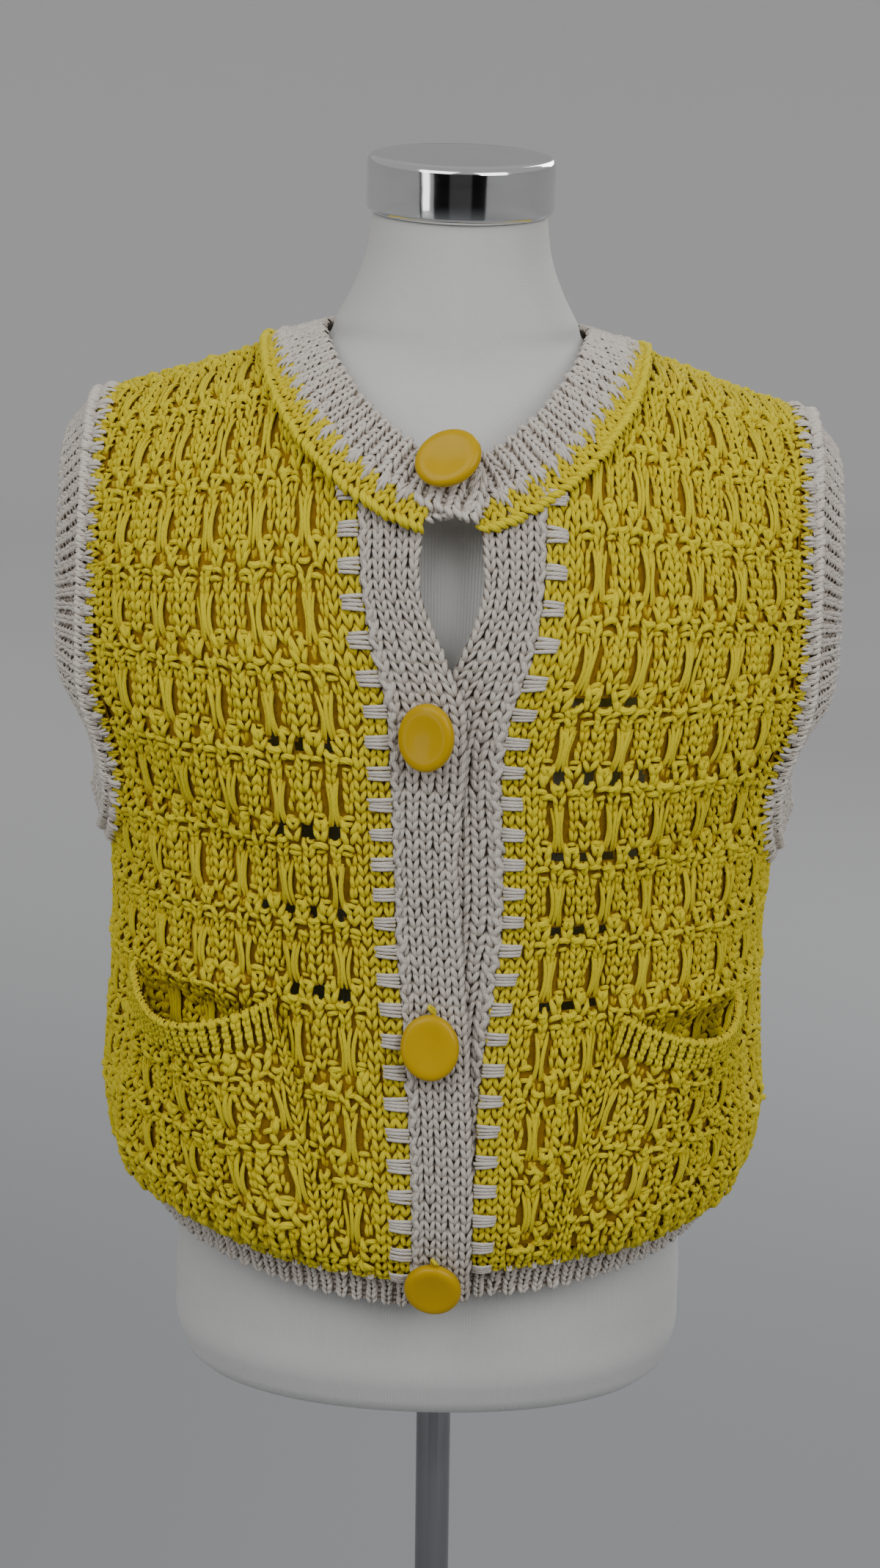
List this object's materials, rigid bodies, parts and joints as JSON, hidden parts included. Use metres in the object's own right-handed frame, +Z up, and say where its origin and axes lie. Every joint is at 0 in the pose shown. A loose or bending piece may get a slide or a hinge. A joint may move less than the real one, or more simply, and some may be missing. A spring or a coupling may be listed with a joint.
{
  "type": "knitted vest on a limbless dress form",
  "caption": "Sleeveless button-front knitted vest in a yellow eyelet stitch with ribbed beige bands and patch pockets, displayed on a white limbless dress form with a chrome cap and pole stand.",
  "frame": {"origin": "middle of the base's underside, on the pole's axis", "axes": "+Z up along the pole, -Y the way the front of the vest faces, +X the wearer's left"},
  "size_m": [0.4437, 0.33, 1.502],
  "materials": {
    "yellow_knit": "matt cotton yarn, eyelet stitch",
    "beige_knit": "matt cotton yarn, rib and stockinette",
    "button_yellow": "polished",
    "form_cloth": "fine white jersey, stretched smooth",
    "chrome": "polished"
  },
  "bodies": {
    "root": {"front_right": "yellow_knit", "front_left": "yellow_knit", "back": "yellow_knit", "pocket_right": "yellow_knit", "pocket_left": "yellow_knit", "neck_border": "yellow_knit", "placket_right": "beige_knit", "placket_left": "beige_knit", "neckband": "beige_knit", "armband_right": "beige_knit", "armband_left": "beige_knit", "hem_band": "beige_knit", "button_1": "button_yellow", "button_2": "button_yellow", "button_3": "button_yellow", "button_4": "button_yellow", "form_torso": "form_cloth", "neck_cap": "chrome", "collar": "chrome", "pole": "chrome", "base": "chrome"}
  },
  "joints": []
}
